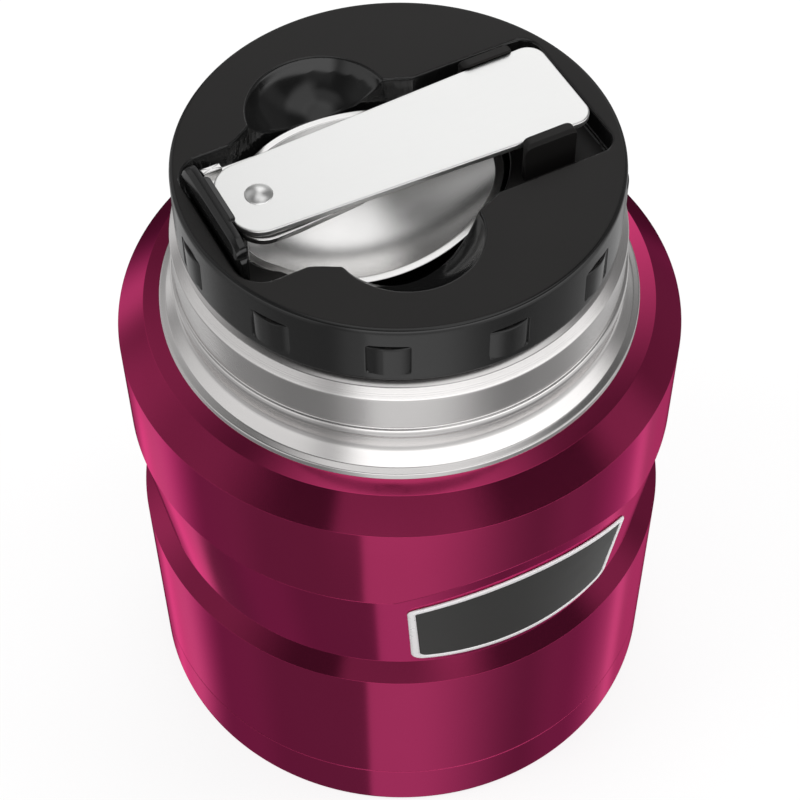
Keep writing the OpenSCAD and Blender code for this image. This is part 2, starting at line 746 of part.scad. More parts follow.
module spoon_rivet() {
    tail_h = 0.8;
    z_tail = z_stem - tail_h - sheet_gap;
    z_head = z_handle + plate_t;
    ball_r = (pow(head_d / 2, 2) + pow(head_h, 2)) / (2 * head_h);
    color([0.85, 0.85, 0.85])
    translate([rivet_x, 0, 0])
    union() {
        translate([0, 0, z_tail]) cylinder(d = head_d, h = tail_h);
        translate([0, 0, z_tail]) cylinder(d = shank_d, h = z_head - z_tail);
        intersection() {
            translate([0, 0, z_head + head_h - ball_r]) sphere(r = ball_r);
            translate([0, 0, z_head]) cylinder(d = head_d + over, h = head_h + over);
        }
    }
}

module rivet_washer() {
    color([0.70, 0.70, 0.70])
    translate([rivet_x, 0, 0])
    tube(washer_d / 2, shank_d / 2 + shank_fit, z_handle - washer_t, z_handle);
}

outer_shell();
base_cap();
neck_collar();
inner_liner();
foil_shield();
vacuum_pan();
vent_seal();
getter();
getter_cup();
badge_frame();
badge_panel();
badge_adhesive();
stopper_cover();
stopper_plug();
stopper_foam();
stopper_gasket();
spoon_bowl();
spoon_handle();
spoon_rivet();
rivet_washer();
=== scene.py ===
import bpy
import numpy as np
from mathutils import Matrix


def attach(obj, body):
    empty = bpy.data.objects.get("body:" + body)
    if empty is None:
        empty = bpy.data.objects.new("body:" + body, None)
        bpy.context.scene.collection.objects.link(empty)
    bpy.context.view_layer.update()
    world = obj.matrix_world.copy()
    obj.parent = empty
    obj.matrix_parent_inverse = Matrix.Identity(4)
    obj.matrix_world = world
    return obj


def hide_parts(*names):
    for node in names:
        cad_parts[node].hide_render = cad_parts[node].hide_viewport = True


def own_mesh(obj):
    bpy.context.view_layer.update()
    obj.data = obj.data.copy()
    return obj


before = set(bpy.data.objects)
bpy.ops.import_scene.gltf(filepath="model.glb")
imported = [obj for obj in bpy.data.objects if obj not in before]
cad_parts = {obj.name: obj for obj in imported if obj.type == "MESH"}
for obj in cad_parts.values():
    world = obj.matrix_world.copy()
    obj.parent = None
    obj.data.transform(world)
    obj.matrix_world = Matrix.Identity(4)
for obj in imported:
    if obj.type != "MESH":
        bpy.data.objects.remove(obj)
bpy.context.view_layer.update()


# ---------------------------------------------------------------- outer shell
# The jar's outer can: 0.7 mm stainless sheet, drawn and rolled to its groove, crease and
# shoulder, then sprayed with metallic magenta lacquer under a clear coat.

def eased(corners, radii, steps=6, rest=0.25):
    """Profile through corners (x, y), each corner turned into an arc of its own radius.
    The arc touches both sides at radius / tan(half the corner's angle) from the corner.
    Points just before and after each arc keep the flats flat under smooth shading."""
    pts = np.asarray(corners, float)
    out = [pts[:1]]
    for k in range(1, len(pts) - 1):
        a, b, c, r = pts[k - 1], pts[k], pts[k + 1], radii[k - 1]
        u, w = (a - b) / np.linalg.norm(a - b), (c - b) / np.linalg.norm(c - b)
        half = np.arccos(np.clip(u @ w, -1, 1)) / 2
        if r <= 0 or half > 1.5:
            out.append(b[None])
            continue
        reach = r / np.tan(half)
        mid = b + (u + w) / np.linalg.norm(u + w) * r / np.sin(half)
        p, q = b + u * reach - mid, b + w * reach - mid
        turn = np.linspace(0, 1, steps + 1)[:, None]
        angle = np.arccos(np.clip(p @ q / r / r, -1, 1))
        arc = mid + (np.sin((1 - turn) * angle) * p + np.sin(turn * angle) * q) / np.sin(angle)
        before, after = b + u * (reach + rest * r), b + w * (reach + rest * r)
        out += [before[None], arc, after[None]]
    out.append(pts[-1:])
    return np.concatenate(out)


def skin(name, grid, tube=False):
    """Mesh over grid[j, i], points in millimetres: closed along i, and along j too if tube.
    A row whose points all coincide becomes one pole. Faces are turned to point outwards."""
    grid = np.asarray(grid, float) * 0.001
    m, n = grid.shape[:2]
    index = np.arange(m * n).reshape(m, n)
    pole = np.ptp(grid, axis=1).max(axis=1) < 1e-8
    index[pole] = index[pole][:, :1]
    j = np.arange(m if tube else m - 1)
    after = (np.arange(n) + 1) % n
    a, b = index[j], index[j][:, after]
    d, c = index[(j + 1) % m], index[(j + 1) % m][:, after]
    quads = np.stack([a, b, c, d], -1).reshape(-1, 4)
    top, low = quads[:, 0] == quads[:, 1], quads[:, 2] == quads[:, 3]
    whole = quads[~top & ~low]
    fans = np.concatenate([quads[top & ~low][:, 1:], quads[low & ~top][:, :3]])
    points = grid.reshape(-1, 3)
    used, back = np.unique(np.concatenate([whole.ravel(), fans.ravel()]), return_inverse=True)
    corners = whole.size
    points, whole, fans = points[used], back[:corners].reshape(-1, 4), back[corners:].reshape(-1, 3)
    tri = np.concatenate([whole[:, :3], whole[:, [0, 2, 3]], fans])
    p = points[tri]
    if np.einsum("ij,ij->", p[:, 0], np.cross(p[:, 1], p[:, 2])) < 0:
        whole, fans = whole[:, ::-1], fans[:, ::-1]
    mesh = bpy.data.meshes.new(name)
    mesh.from_pydata(points.tolist(), [], whole.tolist() + fans.tolist())
    mesh.polygons.foreach_set("use_smooth", np.ones(len(mesh.polygons), bool))
    piece = bpy.data.objects.new(name, mesh)
    bpy.context.scene.collection.objects.link(piece)
    return piece


def turned(name, profile, count=256, tube=True, lift=None):
    """Surface of revolution: each profile point (r, z) is carried round the jar's axis,
    and raised there by lift(x, y, z) if one is given."""
    angle = np.linspace(0, 2 * np.pi, count, endpoint=False)
    r, z = profile[:, 0][:, None], profile[:, 1][:, None] + 0 * angle
    x, y = r * np.cos(angle), r * np.sin(angle)
    return skin(name, np.stack([x, y, z + (lift(x, y, z) if lift else 0)], -1), tube=tube)


class Value:
    """A value in a shader, which adds, subtracts and multiplies as a number does."""

    def __init__(self, finish, socket):
        self.finish, self.socket = finish, socket

    def maths(self, operation, *others):
        return self.finish.node("ShaderNodeMath", {"operation": operation}, [self, *others])

    def __add__(self, other):
        return self.maths("ADD", other)

    def __mul__(self, other):
        return self.maths("MULTIPLY", other)

    def __sub__(self, other):
        return self.maths("SUBTRACT", other)

    def __rsub__(self, other):
        return self.finish.node("ShaderNodeMath", {"operation": "SUBTRACT"}, [other, self])

    __radd__ = __add__
    __rmul__ = __mul__


class Graph:
    """A node tree being made up; each call adds nodes and gives back a Value."""

    def __init__(self, tree):
        self.tree = tree

    def node(self, kind, settings=None, inputs=(), out=0):
        """Adds a node of a kind: its settings first, then the values or links of its sockets."""
        node = self.tree.nodes.new(kind)
        for key, value in (settings or {}).items():
            if key == "stops":
                ramp = node.color_ramp.elements
                while len(ramp) < len(value):
                    ramp.new(0.5)
                for stop, (place, colour) in zip(ramp, value):
                    stop.position, stop.color = place, colour
            else:
                setattr(node, key, value)
        pairs = inputs.items() if isinstance(inputs, dict) else enumerate(inputs)
        for key, value in pairs:
            if isinstance(value, Value):
                self.tree.links.new(value.socket, node.inputs[key])
            else:
                node.inputs[key].default_value = value
        return Value(self, node.outputs[out])

    def noise(self, where, scale, detail=2.0, rough=0.5, kind="3D"):
        """Noise from 0 to 1, with scale grains to the metre."""
        key = "W" if kind == "1D" else "Vector"
        return self.node("ShaderNodeTexNoise", {"noise_dimensions": kind},
                         {key: where, "Scale": scale, "Detail": detail, "Roughness": rough})

    def step(self, value, low, high, floor=0.0, top=1.0):
        """Runs smoothly from floor to top as value goes from low to high."""
        return self.node("ShaderNodeMapRange", {"interpolation_type": "SMOOTHSTEP"},
                         [value, low, high, floor, top])

    def blend(self, share, first, second):
        """Colour between first and second."""
        return self.node("ShaderNodeMix", {"data_type": "RGBA"},
                         {0: share, 6: first, 7: second}, out=2)


class Finish(Graph):
    """A material being made up round one Principled shader, whose even values come first."""

    def __init__(self, name, **fixed):
        self.material = bpy.data.materials.new(name)
        self.material.use_nodes = True
        super().__init__(self.material.node_tree)
        self.shader = self.tree.nodes["Principled BSDF"]
        for socket, value in fixed.items():
            self.shader.inputs[socket.replace("_", " ")].default_value = value

    def place(self):
        """Where a point lies on the piece, in metres."""
        return self.node("ShaderNodeTexCoord", out="Object")

    def bump(self, height, depth):
        """Relief of height times depth, in metres."""
        return self.node("ShaderNodeBump", {}, {"Height": height, "Distance": depth, "Strength": 1.0})

    def feed(self, **varying):
        """Links values that vary over the piece to the shader's sockets of those names."""
        for socket, value in varying.items():
            self.tree.links.new(value.socket, self.shader.inputs[socket.replace("_", " ")])

    def overlay(self, share, other):
        """Mixes another shader in by share, and makes the mixture the surface."""
        mixed = self.node("ShaderNodeMixShader", {}, [share, Value(self, self.shader.outputs[0]), other])
        self.tree.links.new(mixed.socket, self.tree.nodes["Material Output"].inputs["Surface"])


def colour(red, green, blue):
    """Linear colour of a display colour given from 0 to 255."""
    c = np.array([red, green, blue]) / 255.0
    return (*np.where(c <= 0.04045, c / 12.92, ((c + 0.055) / 1.055) ** 2.4), 1.0)


def coated(mesh, finish):
    """Gives a mesh one finish and no other."""
    mesh.materials.clear()
    mesh.materials.append(finish.material)


def fitted(piece, body, slot, finish, *nodes):
    """Gives a piece its finish, its body and the CAD nodes that it stands for."""
    coated(piece.data, finish)
    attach(piece, body)
    if nodes:
        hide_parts(*nodes)
    return piece


# Flake and cloud vary the paint. Where the paint is seen from the side its colour is painted paler, a painted
# sheen; nearly edge-on the clear coat takes over as a tinted mirror film.
lacquer = Finish("magenta_lacquer", Metallic=1.0, Specular_Tint=(0.8, 0.33, 0.5, 1.0),
                 Coat_Weight=0.03, Coat_Roughness=0.05, Coat_IOR=1.5)
spot = lacquer.place()
flake = lacquer.noise(spot, 9000, 1.0)
cloud = lacquer.noise(spot, 60, 3.0)
facing = lacquer.node("ShaderNodeLayerWeight", {}, {"Blend": 0.5}, out="Facing")
rippled = lacquer.bump(lacquer.noise(spot, 500, 1.0) + flake * 0.05, 0.0000015)
paint = lacquer.blend(flake * 0.3 + cloud * 0.5, colour(198, 57, 108), colour(209, 65, 120))
lacquer.feed(
    # Painted sheen: the base colour is painted paler as the surface turns away from the view.
    Base_Color=lacquer.blend(lacquer.step(facing, 0.35, 0.75), paint, colour(204, 87, 128)),
    Roughness=cloud * 0.03 + flake * 0.02 + 0.08,
    Normal=rippled)
film = lacquer.node("ShaderNodeBsdfAnisotropic", {},
                    {"Color": (0.66, 0.050, 0.19, 1.0), "Roughness": 0.1, "Normal": rippled}, out="BSDF")
lacquer.overlay(lacquer.step(facing, 0.68, 0.86), film)

wall = 0.7
foot_r, foot_z = 46.2, 5.5
rim_in = 39.2
shell_line = [(foot_r, foot_z), (foot_r, 11.03), (47, 11.03), (47, 43.2), (44, 45.6), (46.87, 68.6),
              (46.72, 68.62), (47, 68.95), (47, 88.1), (42.4, 92.6), (39.65, 93.12), (rim_in, 93.12)]
shell_ease = [0.03, 0.04, 0.04, 0.03, 0.02, 0.02, 0.02, 0.04, 0.1, 0.05]
inner_line = [(rim_in, 92.5), (39.55, 92.5), (42.1, 91.95), (46.3, 87.9), (46.2, 68.7),
              (43.3, 45.6), (46.3, 43.1), (46.3, 11.65), (foot_r - wall, 11.65), (foot_r - wall, foot_z)]
shell_profile = np.concatenate([eased(shell_line, shell_ease), eased(inner_line, [0.1] * 8, 2)])


def climb(x):
    """How far the crease arches up over the badge's flatter land, at x from its middle."""
    return 5.4 * np.maximum(1 - (x / 22.6) ** 2, 0)


def arch(x, y, z):
    """The climb of the points within 0.8 mm of the crease, on the badge's side only."""
    return climb(x) * (y < 0) * (np.abs(z - 68.7) < 0.8)


shell = turned("jar_shell", shell_profile, 480, lift=arch)
# The paint isn't seen in reflections, so the bare neck stays free of magenta.
fitted(shell, "jar", "body_paint", lacquer, "outer_shell").visible_glossy = False


# ---------------------------------------------------------------- base cap
# A shallow pressed cap closes the bottom: same sheet and lacquer, rolled at its edge,
# standing on a flat ring, and glued over the shell's foot so that a hairline seam shows.

cap_line = [(0, 1.6), (37.4, 1.6), (39, 0), (47, 0), (47, 10.78), (46.3, 10.78),
            (46.3, 0.7), (39.7, 0.7), (38.1, 2.3), (0, 2.3)]
cap_profile = eased(cap_line, [0.5, 0.4, 0.8, 0.06, 0.1, 0.3, 0.3, 0.3])
fitted(turned("base_cup", cap_profile, 384, tube=False), "jar", "body_paint", lacquer, "base_cap")


# ---------------------------------------------------------------- neck
# The bare neck is spun from stainless sheet: a flare that covers the painted deck's edge,
# a bead that stops the outer cup, a plain wall, a sloped lip and the throat with its thread.

steel = Finish("spun_steel", Metallic=1.0)
spot = steel.place()
flat = steel.node("ShaderNodeVectorMath", {"operation": "MULTIPLY"}, [spot, (1.0, 1.0, 0.0)])
reach = steel.node("ShaderNodeVectorMath", {"operation": "LENGTH"}, [flat], out="Value")
height = steel.node("ShaderNodeSeparateXYZ", {}, [spot], out="Z")
along = reach + height * 1.37
lines = steel.noise(along, 9000, 3.0, 0.7, "1D")
bands = steel.noise(along, 900, 2.0, 0.5, "1D")
haze = steel.noise(spot, 90, 3.0)
steel.feed(
    Base_Color=steel.blend(haze * 0.6 + lines * 0.3, colour(222, 219, 218), colour(240, 238, 237)),
    Roughness=lines * 0.06 + haze * 0.04 + 0.17,
    Normal=steel.bump(lines + bands * 0.6, 0.0000045))

bead_a = np.linspace(-np.pi / 2, np.pi / 2, 9)
bead = np.stack([36.6 + 0.62 * np.cos(bead_a), 100.9 + 1.15 * np.sin(bead_a)], -1)
foot = eased([(39.15, 91.5), (39.15, 93.07), (39.65, 93.07), (39.6, 94.15), (38.5, 94.5),
              (36.6, 96.9), (36.6, 98.8)], [0.05, 0.15, 0.35, 0.4, 2.2])
upper = eased([(36.6, 102.2), (36.6, 108.75), (35.25, 110.35), (34.2, 110.9), (32.05, 111.0), (32.05, 117.8),
               (31.0, 117.8), (31.0, 117.3), (31.55, 117.3), (31.55, 110.03), (34.55, 109.53),
               (36.1, 108.25), (36.1, 98.0), (37.25, 94.4), (38.65, 93.0), (38.65, 91.5)],
              [0.6, 0.6, 0.6, 0.4, 0.4, 0.3, 0.1, 0.1, 0.3, 0.2, 0.2, 0.5, 0.5, 0.1])
neck_profile = np.concatenate([foot, [[36.6, 99.65]], bead, upper])
fitted(turned("neck_spun", neck_profile, 320), "jar", "bare_steel", steel, "neck_collar")


def ridge(name, root, tip, start_z, a0, a1, lead=3.2):
    """Thread ridge: a four-sided section (root, tip) carried round the axis while it climbs
    by one lead a turn; the section shrinks into the wall over its first and last 15 degrees."""
    angle = np.radians(np.arange(a0, a1 + 0.1, 2.0))
    fade = np.clip(np.minimum(angle - angle[0], angle[-1] - angle) / np.radians(15), 0.02, 1)
    crest = root + (tip - root) * fade
    r = np.stack([root + 0 * angle, crest, crest, root + 0 * angle])
    dz = np.array([-0.6, -0.35, 0.35, 0.6])[:, None]
    z = start_z + lead * angle / (2 * np.pi) + dz
    grid = np.stack([r * np.cos(angle), r * np.sin(angle), z], -1).transpose(1, 0, 2)
    ends = grid[[0, -1]].mean(axis=1, keepdims=True).repeat(4, axis=1)
    return skin(name, np.concatenate([ends[:1], grid, ends[1:]]))


fitted(ridge("neck_thread", 31.9, 32.95, 113.296, 0, 420), "jar", "bare_steel", steel)


# ---------------------------------------------------------------- inside of the jar
# Between the walls, out of sight: the food liner with its foil, the pan that closes the
# vacuum with its solder bead, and the getter in its cup, all as they leave the welder.

foil = Finish("crinkled_foil", Metallic=1.0)
spot = foil.place()
folds = foil.noise(spot, 260, 3.0, 0.6)
foil.feed(
    Base_Color=foil.blend(folds, colour(206, 206, 206), colour(236, 236, 234)),
    Roughness=folds * 0.15 + 0.18,
    Normal=foil.bump(folds, 0.0004))

solder = Finish("dull_solder", Metallic=0.9)
spot = solder.place()
skinny = solder.noise(spot, 1500, 3.0)
solder.feed(
    Base_Color=solder.blend(skinny, colour(150, 150, 148), colour(182, 182, 178)),
    Roughness=skinny * 0.2 + 0.4,
    Normal=solder.bump(skinny, 0.00005))

sinter = Finish("sintered_getter", Metallic=0.4)
spot = sinter.place()
grain = sinter.noise(spot, 6000, 2.0)
sinter.feed(
    Base_Color=sinter.blend(grain, colour(58, 58, 60), colour(96, 96, 99)),
    Roughness=grain * 0.2 + 0.7,
    Normal=sinter.bump(grain, 0.00006))

for node, finish in (("inner_liner", steel), ("foil_shield", foil), ("vacuum_pan", steel),
                     ("vent_seal", solder), ("getter", sinter), ("getter_cup", steel)):
    coated(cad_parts[node].data, finish)


# ---------------------------------------------------------------- badge
# A thin plate bent to the tapered band: a bright pressed frame round a dark grey satin
# panel, stuck on with a black pad. The panel is left bare.

def on_band(x, z, rise):
    """Point in front of the tapered band at x and z, rise millimetres off its surface."""
    r = 44 + 2.9 * (z - 45.6) / (23.1 + climb(x)) + rise
    return np.stack([x, -np.sqrt(r * r - x * x), z + 0 * x], -1)


def badge_line(inset):
    """Rounded trapezoid, wider at its top, drawn inset millimetres inside the badge's edge.
    Between 2 mm above its foot and 2 mm below its top it stretches up with the land's arch.
    Every inset gives as many points, 80 on each straight run, so that rows match up."""
    h, low, high = 8.65 - inset, 18.9 - inset, 20.6 - inset
    r0, r1 = 1.9 - inset / 2, 0.95 - inset / 2
    corners = [(0, -h), (low, -h), (high, h), (-high, h), (-low, -h), (0, -h)]
    steps = 12
    line = eased(corners, [r0, r1, r1, r0], steps, 0.0)
    turn = steps + 3
    at = [np.linspace(turn * k, turn * k + 1, 80, endpoint=False) for k in range(5)]
    at += [np.arange(turn * k + 2, turn * k + turn - 1) for k in range(4)]
    x, y = (np.interp(np.sort(np.concatenate(at)), np.arange(len(line)), line[:, k]) for k in (0, 1))
    return x, y + 56.05 + climb(x) * np.clip((y + 6.65) / 13.3, 0, 1)


def badge_rows(steps):
    """The badge's outline drawn in by each inset and lifted off the band by each rise."""
    return np.array([on_band(*badge_line(inset), rise) for inset, rise in steps])


def badge_face(inset, rise):
    """The badge's outline at one inset, shrunk in 24 steps to a point of the band inside it."""
    x, z = badge_line(inset)
    return np.array([on_band(x * k, 58 + (z - 58) * k, rise) for k in np.linspace(1, 0, 24)])


trim = Finish("bright_trim", Metallic=0.35)
spot = trim.place()
rub = trim.noise(spot, 900, 3.0)
trim.feed(
    Base_Color=trim.blend(rub, colour(240, 238, 239), colour(252, 250, 251)),
    Roughness=rub * 0.04 + 0.26,
    Normal=trim.bump(rub, 0.0000008))

# Inset and rise across the frame: outer wall, rounded shoulder, flat face, inner wall.
frame_steps = [(0.0, 0.1), (0.0, 0.25), (0.03, 0.33), (0.12, 0.42), (0.27, 0.47), (0.5, 0.49), (0.65, 0.49),
               (0.8, 0.49), (1.03, 0.46), (1.15, 0.40), (1.18, 0.33), (1.2, 0.27), (1.2, 0.1)]
fitted(skin("badge_rim", badge_rows(frame_steps), tube=True), "jar", "bright_trim", trim, "badge_frame")

panel = Finish("dark_panel", Metallic=0.55)
spot = panel.place()
split = panel.node("ShaderNodeSeparateXYZ", {}, [spot], out="Z")
brush = panel.noise(split, 14000, 3.0, 0.7, "1D")
mottle = panel.noise(spot, 220, 3.0)
panel.feed(
    Base_Color=panel.blend(brush * 0.4 + mottle * 0.4, colour(46, 46, 45), colour(62, 62, 60)),
    Roughness=brush * 0.14 + mottle * 0.08 + 0.34,
    Normal=panel.bump(brush, 0.000003))

rows = badge_rows([(1.22, 0.1), (1.22, 0.36), (1.27, 0.39)])
fitted(skin("badge_plate", np.concatenate([badge_face(1.22, 0.1)[::-1], rows, badge_face(1.4, 0.4)])),
       "jar", "panel_grey", panel, "badge_panel")

pad = Finish("black_pad", Roughness=0.8)
spot = pad.place()
cell = pad.noise(spot, 3000, 2.0)
pad.feed(Base_Color=pad.blend(cell, colour(22, 22, 22), colour(38, 38, 38)), Normal=pad.bump(cell, 0.00003))
fitted(skin("badge_pad", np.concatenate([badge_face(1.6, 0.01)[::-1], badge_face(1.6, 0.09)])),
       "jar", "adhesive", pad, "badge_adhesive")


# ---------------------------------------------------------------- stopper
# The stopper's cover is one moulding in black polypropylene: a flat top with the spoon's
# pocket and two finger scoops sunk into it, and a skirt with twelve raised grip pads.

moulding = Finish("gloss_moulding", Specular_IOR_Level=0.55)
spot = moulding.place()
grainy = moulding.noise(spot, 5200, 2.0)
swirl = moulding.noise(spot, 70, 3.0)
scuff = moulding.step(moulding.noise(spot, 420, 4.0, 0.65), 0.62, 0.8)
moulding.feed(
    Base_Color=moulding.blend(swirl * 0.5 + scuff * 0.2, colour(16, 16, 16), colour(25, 25, 25)),
    Roughness=swirl * 0.05 + scuff * 0.06 + grainy * 0.02 + 0.10,
    Normal=moulding.bump(grainy, 0.0000008))

satin_top = Finish("satin_moulding", Specular_IOR_Level=0.18)
spot = satin_top.place()
grainy = satin_top.noise(spot, 6000, 2.0)
swirl = satin_top.noise(spot, 60, 3.0)
satin_top.feed(
    Base_Color=satin_top.blend(swirl * 0.6 + grainy * 0.2, colour(19, 18, 18), colour(29, 28, 27)),
    Roughness=swirl * 0.06 + grainy * 0.10 + 0.36,
    Normal=satin_top.bump(grainy, 0.000005))

# Heights of the top, the pocket's floor, the well's floor, the drum and the skirt's foot; the
# middle of the rays that the top is drawn along; the well's egg; the balls of the scoops.
lid_z, floor_z, well_z, drum_z, skirt_z = 123.4, 119.6, 110.3, 116.0, 112.28
hub = -6.2
egg_mid, egg_a, egg_b = -4.8, 22.9, 18.5
ball_y, ball_r, scoop_r = 14.8, 13.0, 11.7
ball_z = lid_z + np.sqrt(ball_r ** 2 - scoop_r ** 2)


# Half the width of a grip pad's window, the height of its middle, and half its height.
pad_half, pad_mid, pad_up = 3.3, 116.84, 3.05


def skirt_columns():
    """Angles round the skirt: an even spread, with more at each side of the twelve pads."""
    even = np.arange(444) * 2 * np.pi / 444
    side = pad_half + np.array([-0.5, -0.3, -0.18, -0.1, -0.03, 0.03, 0.1, 0.18, 0.3])
    near = np.concatenate([side, -side]) / 35.4
    pads = (np.arange(12)[:, None] * np.pi / 6 + near).ravel() % (2 * np.pi)
    gap = np.abs((even[:, None] - pads + np.pi) % (2 * np.pi) - np.pi).min(axis=1)
    return np.sort(np.concatenate([even[gap > 0.004], pads]))


theta = skirt_columns()
edge = 35.3 * np.stack([np.cos(theta), np.sin(theta)], -1)
ray = edge - [hub, 0]
reach_lid = np.linalg.norm(ray, axis=1)
ray = ray / reach_lid[:, None]


def found(inside):
    """How far along each ray a star-shaped outline lies, by halving."""
    low, high = np.zeros(len(ray)), np.full(len(ray), 44.0)
    for _ in range(44):
        mid = (low + high) / 2
        hit = inside(hub + ray[:, 0] * mid, ray[:, 1] * mid)
        low, high = np.where(hit, mid, low), np.where(hit, high, mid)
    return low


def channel_gap(x, y):
    """Distance outside the channel: a rectangle with rounded corners and a wider middle."""
    mid, half = -0.4, 31.6
    r = np.where(x < mid, 4.5, 3.0)
    qx, qy = np.abs(x - mid) - half + r, np.abs(y) - 13.9 + r
    box = np.hypot(np.maximum(qx, 0), np.maximum(qy, 0)) + np.minimum(np.maximum(qx, qy), 0) - r
    dx, dy = np.abs(x - hub) - 11.75, np.abs(y) - 15.75
    middle = np.maximum(np.maximum(dy, dx - 4.3), dx * 0.395 + dy * 0.919)
    return np.minimum(box, middle)


def egg_gap(x, y, a=egg_a, b=egg_b):
    """Below zero inside the egg |y| < b sqrt(1 - t^2) (1 - 0.12 t), with t along its length."""
    t = (x - egg_mid) / a
    return np.where(np.abs(t) < 1, np.abs(y) - b * np.sqrt(np.maximum(1 - t * t, 0)) * (1 - 0.12 * t), 1.0)


def gap_to(reach_k, reach_here):
    """Distance from an outline measured square to it, from distances along the rays."""
    turn = np.unwrap(np.arctan2(ray[:, 1], ray[:, 0]))
    wide = np.concatenate([[turn[-1] - 2 * np.pi], turn, [turn[0] + 2 * np.pi]])
    vals = np.concatenate([reach_k[-1:], reach_k, reach_k[:1]])
    slope = (vals[2:] - vals[:-2]) / (wide[2:] - wide[:-2])
    lean = np.clip(np.sqrt(1 + (slope / np.maximum(reach_k, 1)) ** 2), 1, 4)
    return (reach_here - reach_k) / lean, lean


reach_egg = found(lambda x, y: egg_gap(x, y) < 0)
reach_neck = found(lambda x, y: np.hypot(np.minimum(x + 22.5, 0) / 6.75, y / 10.5) < 1)
slot = np.minimum(23 / np.maximum(np.abs(ray[:, 0]), 1e-3), 5.4 / np.maximum(np.abs(ray[:, 1]), 1e-3))
reach_slot = np.maximum(reach_egg, np.where(ray[:, 0] < 0, np.maximum(slot, reach_neck), 0))
reach_channel = found(lambda x, y: channel_gap(x, y) < 0)
side = np.abs(ray[:, 1]) * ball_y
reach_scoop = side + np.sqrt(np.maximum(scoop_r ** 2 - (ball_y * ray[:, 0]) ** 2, 0))

offsets = np.array([-1.2, -0.7, -0.4, -0.25, -0.12, -0.004, 0.004, 0.05, 0.12, 0.22, 0.35, 0.5, 0.9])
rings = [reach_lid * k for k in np.linspace(0.04, 0.97, 22)]
for outline, steps in ((reach_egg, offsets), (reach_slot, offsets[[3, 5, 6, 8, 10]]),
                       (reach_channel, offsets), (reach_scoop, offsets)):
    lean = gap_to(outline, outline)[1]
    rings += [outline + step * lean for step in steps]
rings += [reach_lid - step for step in (1.3, 1.0, 0.8, 0.62, 0.45, 0.3, 0.17, 0.07, 0.02, 0.0)]
rings = np.sort(np.clip(np.array(rings), 0.01, reach_lid), axis=0)


def ledge(gap, high, low, top_r, foot_r):
    """Height of a step: high outside and low inside, with a rounded brink and foot."""
    brink = high - top_r + np.sqrt(np.maximum(top_r ** 2 - np.maximum(top_r - gap, 0) ** 2, 0))
    foot = low + foot_r - np.sqrt(np.maximum(foot_r ** 2 - np.maximum(foot_r + gap, 0) ** 2, 0))
    return np.where(gap >= 0, brink, foot)


def top_height(reach_here):
    """Height of the stopper's top along the rays: the lowest of the flat top, the channel,
    the two balls of the scoops and the well, with their brinks rounded over."""
    x, y = hub + ray[:, 0] * reach_here, ray[:, 1] * reach_here
    rim = gap_to(reach_lid, reach_here)[0]
    flat = lid_z - 0.8 + np.sqrt(np.maximum(0.64 - np.maximum(rim + 0.8, 0) ** 2, 0))
    pocket = ledge(gap_to(reach_channel, reach_here)[0], lid_z, floor_z, 0.5, 0.7)
    z = np.minimum(np.where(rim > -2, flat, pocket), pocket)
    ball = np.hypot(x - hub, np.abs(y) - ball_y)
    dish = ball_z - np.sqrt(np.maximum(ball_r ** 2 - ball ** 2, 0))
    soft = np.clip(0.5 + (dish - z) / 1.0, 0, 1)
    z = dish * (1 - soft) + z * soft - 0.5 * soft * (1 - soft)
    slot_gap = gap_to(reach_slot, reach_here)[0]
    egg = gap_to(reach_egg, reach_here)[0]
    brink = 0.4 - np.sqrt(np.maximum(0.16 - np.maximum(0.4 - slot_gap, 0) ** 2, 0))
    well = ledge(egg, 116.7, well_z, 0.01, 1.5)
    return np.where(slot_gap >= 0, z - brink, np.minimum(well, z))


def skirt_radius(z):
    """Radius of the skirt's outside: a slight cone, cut by twelve shallow windows, each
    filled by an upright pad whose face is an arc of 7.6 mm."""
    plain = 35.45 - 0.15 * (z - skirt_z) / (lid_z - skirt_z)
    a = (theta + np.pi / 12) % (np.pi / 6) - np.pi / 12
    x = 35.375 * np.sin(a)
    qx, qz = np.abs(x) - pad_half + 0.5, np.abs(z - pad_mid) - pad_up + 0.5
    gap = np.hypot(np.maximum(qx, 0), np.maximum(qz, 0)) + np.minimum(np.maximum(qx, qz), 0) - 0.5
    face = 28.125 + np.sqrt(57.76 - np.minimum(np.abs(x), pad_half) ** 2)
    floor = 34.775 + 0 * x
    cap_gap = z - 119.59
    bent = np.sqrt(np.maximum(0.0625 - np.clip(cap_gap + 0.25, 0, 0.25) ** 2, 0))
    face = np.where(cap_gap > -0.25, face - 0.25 + bent, face)
    face = np.where(cap_gap > 0, floor, face)
    inner = np.maximum(face, floor) / np.cos(a)
    rounded = plain - 0.12 + np.sqrt(np.maximum(0.0144 - np.clip(0.12 - gap, 0, 0.12) ** 2, 0))
    return np.where(gap > 0, rounded, np.minimum(inner, plain + 0.4))


def round_row(r, z):
    """Ring of radius r about the jar's axis at height z, at the skirt's angles."""
    return np.stack([r * np.cos(theta), r * np.sin(theta), z + 0 * theta], -1)


def under_height(reach_here):
    """Height of the underside: a flat drum with the well's shell hanging from it."""
    gap = gap_to(reach_under, reach_here)[0]
    return np.where(gap >= 0, drum_z, np.maximum(well_z - 1.3, drum_z + 30 * gap))


def ray_row(reach_here, height):
    """Ring of points reach_here along the rays from the hub, each at its own height."""
    return np.stack([hub + ray[:, 0] * reach_here, ray[:, 1] * reach_here, height], -1)


